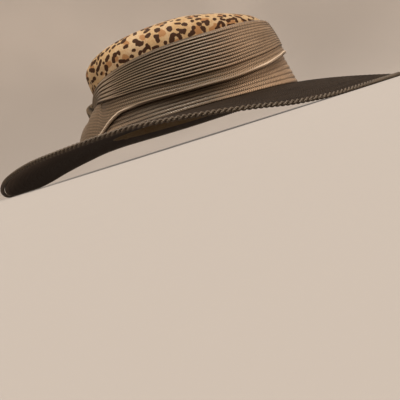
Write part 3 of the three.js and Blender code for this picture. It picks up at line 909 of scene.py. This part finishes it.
def brim_piece(sizes, finish):
    """Very wide brim of sewn rows: from the crown to the rim each row swells from a groove by a rib, on
    the top face and on the under face, within the brim's own thickness."""
    angle = around(440)
    rows = sizes.brim_rows
    share = ((np.arange(rows)[:, None] + BRIM_ROW_PARTS) / rows).reshape(-1)[None, :]
    sunk = BRIM_GROOVE * (1 - np.tile(rib(BRIM_ROW_PARTS), rows))[None, :]
    half = sizes.brim_thickness / 2
    under = on_brim(sizes, angle, share, sunk - half + 0 * angle)
    over = on_brim(sizes, angle, share[:, ::-1], half - sunk[:, ::-1] + 0 * angle)
    rim = on_brim(sizes, angle, np.ones((1, 1)), 0 * angle)
    points = np.concatenate([under, rim, over], axis=1)
    numbers = share * rows
    every = np.concatenate([numbers, [[rows]], numbers[:, ::-1]], axis=1)
    # Painted light on the brim's under face, in its lighter colour
    below = np.broadcast_to(np.arange(points.shape[1]) < share.shape[1], points.shape[:2])
    piece = swept_mesh("brim_braid", points, True, rows=every, fields={"painted_light": 0.8 * below})
    return dress(piece, finish, "brim")


def cord_piece(sizes, finish):
    """Cord of two plies along the rim. Each ply is a round tube whose middle circles the cord's own
    line, once for each lay, half a turn from the other ply."""
    radius = sizes.edge_cord / 2

    def rim_line(angle, off, lift):
        x, y = oval(sizes.brim_length, sizes.brim_width, angle, off - radius)
        return points_at(x, y, rim_height(sizes, angle) + radius + lift)

    measured = 4096
    length = along_rows(rim_line(around(measured), 0, 0)) * MM
    turns = round(length[-1] / sizes.cord_lay)
    stations = turns * 12
    equal = np.arange(stations)[:, None] / stations
    angle = np.interp(equal * length[-1], length, np.linspace(-180, 180, measured + 1))
    ply = 0.53 * radius
    across = np.arange(8)[None, :] / 8
    tube = 2 * np.pi * across
    for k in range(2):
        swing = 2 * np.pi * turns * equal + np.pi * k
        off = (radius - ply) * np.cos(swing) + ply * np.cos(tube)
        lift = (radius - ply) * np.sin(swing) + ply * np.sin(tube)
        piece = swept_mesh(f"edge_ply_{k + 1}", rim_line(angle, off, lift), True, rows=across)
        dress(piece, finish, "brim_edge")


def wrap_piece(sizes, finish):
    """Ribbed wrap: a loop round the gathered drape. The loop's outline follows its table smoothly, its
    outer face has pleats that run slantwise over it, and its sides round over to the inner face."""
    top, foot, seat, _, _ = (float(np.ravel(v)[0]) for v in drape_at(sizes, np.array([[180.0]])))
    middle = (top + foot) / 2
    inner_half = (top - foot) / 2 + CLEARANCE
    outer_half = inner_half + WRAP_WALL
    inner_back = seat - CLEARANCE
    inner_front = seat + sizes.wall + sizes.row_relief + CLEARANCE
    outer_back = inner_back - WRAP_WALL
    outer_front = inner_front + sizes.wrap_depth
    stations = 72
    size = len(WRAP_LOOP)
    at = size * np.arange(stations)[:, None] / stations
    inner_off, inner_up, outer_off, outer_up = (
        read_table([(k, WRAP_LOOP[k % size][column]) for k in range(-2, size + 3)], at)
        for column in range(4)
    )
    across = np.linspace(1, -1, 61)[None, :]
    pleat_turn = 2.0 * (across + 1) + 0.8 * outer_up + 0.2 * np.sin(3 * across)
    pleats = np.abs(np.sin(np.pi * pleat_turn)) ** 0.8
    rounding = (1 - np.abs(across) ** 2.6) ** 0.6
    lift = (0.2 + 0.8 * rounding) - 0.4 * (1 - pleats) * outer_off
    off = mix(outer_back, mix(outer_back, outer_front, outer_off), lift)
    height = middle + mix(inner_half, outer_half, 0.4 + 0.6 * rounding) * outer_up
    outside = beside_crown(sizes, 180 + wrap_span(sizes) * across, height, off)
    back = 180 + wrap_span(sizes) * 0.98 * np.linspace(-1, 1, 9)[None, :]
    inner_height = middle + inner_half * inner_up
    inside = beside_crown(sizes, back, inner_height, mix(inner_back, inner_front, inner_off))
    points = np.concatenate([outside, inside], axis=1)
    rows = np.linspace(0, 12, points.shape[1])[None, :]
    # Painted highlight on the crests of the wrap's pleats
    crest = np.concatenate([0.9 * pleats**3, np.zeros(inside.shape[:2])], axis=1)
    piece = swept_mesh("wrap_braid", points, True, rows=rows, fields={"painted_light": crest})
    return dress(piece, finish, "band_knot")


class Finish:
    """A material that is being wired up. Each method adds one node and gives back its output."""

    def __init__(self, name):
        self.material = bpy.data.materials.new(name)
        self.material.use_nodes = True
        self.tree = self.material.node_tree
        self.tree.nodes.clear()

    def node(self, kind, output, values, **settings):
        made = self.tree.nodes.new(kind)
        for key, value in settings.items():
            setattr(made, key, value)
        for key, value in values.items():
            if isinstance(value, bpy.types.NodeSocket):
                self.tree.links.new(value, made.inputs[key])
            else:
                made.inputs[key].default_value = value
        return made.outputs[output]

    def maths(self, operation, first, second=0.0, third=0.0):
        values = {0: first, 1: second, 2: third}
        return self.node("ShaderNodeMath", 0, values, operation=operation)

    def times(self, first, second, plus=0.0):
        return self.maths("MULTIPLY_ADD", first, second, plus)

    def wave(self, turns):
        return self.maths("SINE", self.times(turns, 2 * np.pi))

    def eased(self, value, low, high, start=0.0, end=1.0):
        values = {0: value, 1: low, 2: high, 3: start, 4: end}
        return self.node("ShaderNodeMapRange", 0, values, interpolation_type="SMOOTHSTEP")

    def blend(self, share, *colours):
        first, second = (c if isinstance(c, bpy.types.NodeSocket) else (*c, 1.0) for c in colours)
        return self.node("ShaderNodeMix", 2, {0: share, 6: first, 7: second}, data_type="RGBA")

    def noise(self, vector, scale, detail=2.0):
        values = {"Vector": vector, "Scale": scale, "Detail": detail}
        return self.node("ShaderNodeTexNoise", "Fac", values)

    def place(self):
        return self.node("ShaderNodeTexCoord", "Object", {})

    def field(self, name):
        return self.node("ShaderNodeAttribute", "Fac", {}, attribute_name=name)

    def split(self, vector):
        parts = self.tree.nodes.new("ShaderNodeSeparateXYZ")
        self.tree.links.new(vector, parts.inputs[0])
        return parts.outputs

    def rows(self):
        return self.split(self.node("ShaderNodeUVMap", 0, {}, uv_map="Rows"))[:2]

    def vector(self, x, y, z=0.0):
        return self.node("ShaderNodeCombineXYZ", 0, {0: x, 1: y, 2: z})

    def shader(self, colour, roughness, bump, distance, specular, more=()):
        """Principled shader with its bump, given in millimetres, and what more its sockets say."""
        relief = {"Height": bump, "Distance": distance * MM, "Strength": 1.0}
        values = {"Base Color": colour, "Roughness": roughness, "Specular IOR Level": specular}
        values["Normal"] = self.node("ShaderNodeBump", 0, relief)
        values.update(more)
        surface = self.node("ShaderNodeBsdfPrincipled", 0, values)
        output = self.tree.nodes.new("ShaderNodeOutputMaterial")
        self.tree.links.new(surface, output.inputs["Surface"])
        return self.material


def braid_finish(
    name, colours, groove_shade=0.95, strand=2.2, slant=0.8, gloss=0.36, weave=0.14, shine=0.4, painted_highlight=1.0,
    strong=0.14,
):
    """Flat braid in five colours: light, dark, groove, pale and painted light. Strands run slantwise
    from both borders of a row to its middle, where they turn. Streaks along the rows are dull or
    glossy. The sides of each row darken to the grooves as painted shade. At the hat's front, and a
    little at its back, the light strands turn pale as a painted highlight and the painted groove shade
    shows less.
    The painted light colour covers what the piece's own field marks: a painted highlight on edges and
    crests, or painted light on the brim's under face. Strand and weave are a strand's width and its
    relief in millimetres, and strong is how much the strands stand out in colour where they aren't
    pale."""
    light, dark, groove, pale, painted_light = colours
    finish = Finish(name)
    along, row = finish.rows()
    along = finish.times(finish.maths("FLOOR", row), 17.3, along)
    off_middle = finish.maths("SUBTRACT", finish.maths("FRACT", row), 0.5)
    from_middle = finish.times(finish.maths("ABSOLUTE", off_middle), 2.0)
    wave = finish.wave(finish.times(from_middle, slant, finish.maths("DIVIDE", along, strand)))
    forward, sideways, _ = finish.split(finish.place())
    # Painted highlight: strands turn pale towards the hat's front and a little towards its back
    ahead = finish.eased(forward, 0.012, 0.06, 0.0, painted_highlight)
    behind = finish.eased(forward, -0.085, -0.03, 0.35 * painted_highlight, 0.0)
    front = finish.maths("MAXIMUM", ahead, behind)
    patches = finish.noise(finish.vector(forward, sideways, finish.times(row, 0.03)), 30.0, 3.0)
    flecks = finish.noise(finish.vector(finish.times(along, 0.5), finish.times(row, 3.0)), 1.0)
    raised = finish.times(wave, finish.times(front, 0.34, strong), patches)
    raised = finish.times(flecks, 0.6, raised)
    colour = finish.blend(finish.eased(raised, 0.45, 1.15), dark, finish.blend(front, light, pale))
    # Painted shade: each row's sides darken to the groove colour, less so under the painted highlight
    sunk = finish.eased(from_middle, 0.3, 0.95)
    sunk = finish.times(sunk, finish.times(front, -0.66 * groove_shade, groove_shade))
    colour = finish.blend(sunk, colour, groove)
    # Painted light from the piece's field: highlights on edges and crests, or the brim's lighter under
    # face
    colour = finish.blend(finish.field("painted_light"), colour, painted_light)
    roughness = finish.eased(flecks, 0.3, 0.7, gloss - 0.08, gloss + 0.16)
    height = finish.times(flecks, 0.5, finish.times(wave, 0.5))
    return finish.shader(colour, roughness, height, weave, shine, {"Specular Tint": GLOSS_TINT})


def cloth_finish(colours):
    """Spotted cloth: dark bars and tan centres by their distance fields, with frayed outlines, over a
    ground with faint warm patches and a fine weave."""
    finish = Finish("spotted cloth")
    place = finish.place()
    fray = finish.maths("SUBTRACT", finish.noise(place, 340.0, 3.0), 0.5)
    slow = finish.noise(place, 60.0)
    dark = finish.times(fray, 2.2, finish.field("dark_spot"))
    tan = finish.times(fray, 2.4, finish.field("tan_spot"))
    ground = finish.blend(finish.eased(slow, 0.3, 0.7), colours.cloth, colours.cloth_warm)
    grain = finish.eased(finish.noise(place, 650.0), 0.4, 0.72, 0.0, 0.45)
    ground = finish.blend(grain, ground, colours.cloth_tan)
    colour = finish.blend(finish.eased(tan, -0.5, 0.35, 0.85, 0.0), ground, colours.cloth_tan)
    colour = finish.blend(finish.eased(dark, -0.22, 0.22, 1.0, 0.0), colour, colours.cloth_dark)
    fine = finish.noise(place, 1900.0, 1.0)
    roughness = finish.eased(fine, 0.3, 0.7, 0.6, 0.8)
    return finish.shader(colour, roughness, finish.times(slow, 0.6, fine), 0.12, 0.1)


def cord_finish(colours):
    """Twisted cord: threads run round each ply, with a painted highlight where they stand out and
    painted shade in the hollows between them.
    """
    finish = Finish("twisted cord")
    along, across = finish.rows()
    threads = finish.times(across, 6.0, finish.maths("DIVIDE", along, 1.4))
    wave = finish.times(finish.wave(threads), 0.5, 0.5)
    patches = finish.noise(finish.place(), 90.0, 3.0)
    share = finish.times(wave, 0.45, finish.times(patches, 0.55))
    # Painted highlight on the threads' raised tops and painted shade in the hollows between them
    colour = finish.blend(finish.eased(share, 0.2, 0.8), colours.cord_hollow_shade, colours.cord_highlight)
    roughness = finish.eased(patches, 0.3, 0.7, 0.4, 0.6)
    return finish.shader(colour, roughness, wave, 0.14, 0.5, {"Specular Tint": GLOSS_TINT})


def floor_finish(colours):
    """Matt paper with faint slow patches and a glow near the hat. The wall's colour takes over farther
    out and higher up. The floor is darker near the hat, where the lamps fall strongest, and low on the
    bend, where the key light catches it: painted shade that evens out how brightly the lamps light it."""
    finish = Finish("studio paper")
    place = finish.place()
    patches = finish.noise(place, 1.3)
    far = finish.node("ShaderNodeVectorMath", 1, {0: place}, operation="LENGTH")
    # Painted shade: less of the light wall colour low down and near the hat, where the lamps light the
    # paper most
    upright = finish.times(finish.eased(finish.split(place)[2], 0.1, 1.1), 0.25, 0.75)
    share = finish.times(finish.eased(far, 0.5, 1.6), upright)
    colour = finish.blend(share, colours.floor, colours.wall)
    colour = finish.blend(finish.eased(patches, 0.3, 0.7, 0.0, 0.15), colour, colours.floor)
    fine = finish.noise(place, 400.0, 1.0)
    glow = finish.blend(finish.eased(far, 0.4, 0.8), colours.glow, (0, 0, 0))
    glowing = {"Emission Color": glow, "Emission Strength": GLOW_STRENGTH}
    return finish.shader(colour, 0.9, fine, 0.05, 0.1, glowing)


def area_light(name, power, size, place, aim, colour):
    """One square lamp, turned to the point that it is aimed at."""
    data = bpy.data.lights.new(name, "AREA")
    data.energy = power
    data.size = size
    data.color = colour
    lamp = bpy.data.objects.new(name, data)
    lamp.location = place
    lamp.rotation_euler = (Vector(aim) - Vector(place)).to_track_quat("-Z", "Y").to_euler()
    bpy.context.scene.collection.objects.link(lamp)


def backdrop():
    """Floor that curves up into a round wall: flat out to a radius, then a quarter circle, then
    upright. It has a back of its own, a little below and behind."""
    flat, bend, wall_top, thickness, middle = 1.5, 0.9, 3.2, 0.02, 0.05
    angle = np.radians(around(128))
    turn = np.linspace(0, np.pi / 2, 24)
    edge = flat + bend
    radius = [np.linspace(middle, flat, 16)[:-1], flat + bend * np.sin(turn), [edge]]
    radius = np.concatenate([*radius, [edge + thickness, edge + thickness, middle]])
    height = [np.zeros(15), bend * (1 - np.cos(turn)), [wall_top]]
    height = np.concatenate([*height, [wall_top, -thickness, -thickness]])
    points = points_at(radius * np.cos(angle), radius * np.sin(angle), height)
    ends = np.array([[0, 0, 0], [0, 0, -thickness]])
    return swept_mesh("studio_floor", points, False, ends)


class HatOperator(Operator):
    """Common settings of the operators that build the hat."""

    bl_options = {"REGISTER", "UNDO"}

    @classmethod
    def poll(cls, context):
        return context.scene is not None


class DRESSHAT_OT_crown(HatOperator):
    """Build the spotted cloth crown"""

    bl_idname = "dress_hat.crown"
    bl_label = "Build Crown"

    def execute(self, context):
        crown_piece(context.scene.dress_hat_sizes, cloth_finish(context.scene.dress_hat_colours))
        return {"FINISHED"}


class DRESSHAT_OT_bands(HatOperator):
    """Build the flared tier, the draped band and the wrap that gathers it"""

    bl_idname = "dress_hat.bands"
    bl_label = "Build Bands"

    def execute(self, context):
        sizes, c = context.scene.dress_hat_sizes, context.scene.dress_hat_colours
        # The tier's darker strands are painted shade under the drape's fold
        lower = (c.tier_shaded, c.braid_dark, c.groove, c.tier_painted_highlight, c.tier_painted_highlight)
        upper = (c.braid_light, c.braid_dark, c.groove, c.braid_painted_highlight, c.fold_edge_highlight)
        # The wrap takes colours one step darker, as painted shade at the back of the hat
        knot = (c.braid_dark, c.groove, c.groove, c.braid_dark, c.braid_light)
        tier_piece(sizes, braid_finish("tier braid", lower, 0.7))
        drape = drape_piece(sizes, braid_finish("drape braid", upper))
        fold = fold_piece(sizes, braid_finish("strip braid", upper, 0.68, shine=0.25, strong=0.7))
        wrap = wrap_piece(sizes, braid_finish("wrap braid", knot, shine=0.2))
        return {"FINISHED"}


class DRESSHAT_OT_brim(HatOperator):
    """Build the brim's sewn rows and the twisted cord along its rim"""

    bl_idname = "dress_hat.brim"
    bl_label = "Build Brim"

    def execute(self, context):
        sizes, c = context.scene.dress_hat_sizes, context.scene.dress_hat_colours
        dark_braid = (c.brim_light, c.brim_dark, c.groove, c.brim_light, c.brim_under_painted_light)
        dull = {"gloss": 0.7, "weave": 0.2, "shine": 0.05, "painted_highlight": 0.0}
        brim_piece(sizes, braid_finish("brim braid", dark_braid, 0.7, 1.8, 0.9, **dull))
        cord_piece(sizes, cord_finish(c))
        return {"FINISHED"}


class DRESSHAT_OT_stage(HatOperator):
    """Set up the floor, the lights and the camera"""

    bl_idname = "dress_hat.stage"
    bl_label = "Set Up Stage"

    def execute(self, context):
        scene = context.scene
        settings = scene.dress_hat_view
        floor = backdrop()
        floor.data.materials.append(floor_finish(scene.dress_hat_colours))
        for light in LIGHTS:
            area_light(*light)
        world = bpy.data.worlds.new("studio air")
        world.use_nodes = True
        air = world.node_tree.nodes["Background"].inputs
        air["Color"].default_value = AIR_COLOUR
        air["Strength"].default_value = AIR_STRENGTH
        scene.world = world
        scene.view_settings.view_transform = "Standard"
        scene.view_settings.look = "None"
        data = bpy.data.cameras.new("photo camera")
        data.lens = settings.lens
        data.sensor_width = SENSOR_WIDTH
        data.clip_start = 0.4 * MM
        camera = bpy.data.objects.new("photo camera", data)
        eye, aim = Vector(settings.eye), Vector(settings.aim)
        level = (aim - eye).to_track_quat("-Z", "Y").to_matrix().to_4x4()
        camera.matrix_world = Matrix.Translation(eye) @ level @ Matrix.Rotation(settings.roll, 4, "Z")
        scene.collection.objects.link(camera)
        scene.camera = camera
        return {"FINISHED"}


class DRESSHAT_PT_panel(Panel):
    """Settings and build steps of the dress hat"""

    bl_label = "Dress Hat"
    bl_idname = "DRESSHAT_PT_panel"
    bl_space_type = "VIEW_3D"
    bl_region_type = "UI"
    bl_category = "Dress Hat"

    def draw(self, context):
        scene = context.scene
        for settings in (scene.dress_hat_sizes, scene.dress_hat_colours, scene.dress_hat_view):
            box = self.layout.box()
            for name in settings.__annotations__:
                box.prop(settings, name)
        for operator in OPERATORS:
            self.layout.operator(operator.bl_idname)


OPERATORS = (DRESSHAT_OT_crown, DRESSHAT_OT_bands, DRESSHAT_OT_brim, DRESSHAT_OT_stage)
CLASSES = (DressHatSizes, DressHatColours, DressHatView, *OPERATORS, DRESSHAT_PT_panel)


def register():
    for cls in CLASSES:
        bpy.utils.register_class(cls)
    bpy.types.Scene.dress_hat_sizes = PointerProperty(type=DressHatSizes)
    bpy.types.Scene.dress_hat_colours = PointerProperty(type=DressHatColours)
    bpy.types.Scene.dress_hat_view = PointerProperty(type=DressHatView)


def unregister():
    del bpy.types.Scene.dress_hat_view
    del bpy.types.Scene.dress_hat_colours
    del bpy.types.Scene.dress_hat_sizes
    for cls in reversed(CLASSES):
        bpy.utils.unregister_class(cls)


def main():
    register()
    bpy.ops.dress_hat.crown()
    bpy.ops.dress_hat.bands()
    bpy.ops.dress_hat.brim()
    bpy.ops.dress_hat.stage()
    bpy.context.view_layer.update()


if __name__ == "__main__":
    main()
